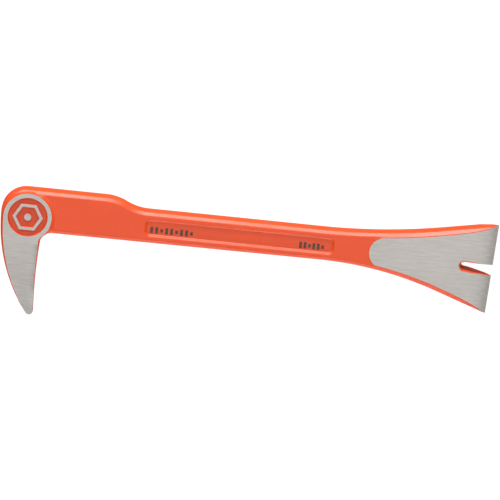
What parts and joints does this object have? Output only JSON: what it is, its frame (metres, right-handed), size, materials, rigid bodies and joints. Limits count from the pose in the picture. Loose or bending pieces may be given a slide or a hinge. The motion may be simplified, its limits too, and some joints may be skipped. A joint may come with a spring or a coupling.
{
  "type": "pry bar",
  "caption": "Small flat pry bar: a round head with a side claw, a straight orange grip with a shallow panel, and a flared ground blade with a nail notch.",
  "frame": {"origin": "bottom centre of the bar as it lies flat on its back face", "axes": "+X along the bar from the round head to the blade, +Y away from the claw, +Z out of the front face"},
  "size_m": [0.2032, 0.058, 0.008],
  "materials": {
    "forged_steel": "ground and belt brushed",
    "powder_coat": "semi-gloss orange powder coat",
    "mark_ink": "matt dark fill"
  },
  "bodies": {
    "root": {"claw": "forged_steel", "head": "forged_steel", "neck": "forged_steel", "shank": "forged_steel", "blade": "forged_steel", "front_emblem": "forged_steel", "back_emblem": "forged_steel", "claw_coat": "powder_coat", "head_coat": "powder_coat", "neck_coat": "powder_coat", "shank_coat": "powder_coat", "blade_coat": "powder_coat", "notch_coat": "powder_coat", "front_pocket_coat": "powder_coat", "back_pocket_coat": "powder_coat", "left_mark": "mark_ink", "right_mark": "mark_ink"}
  },
  "joints": []
}
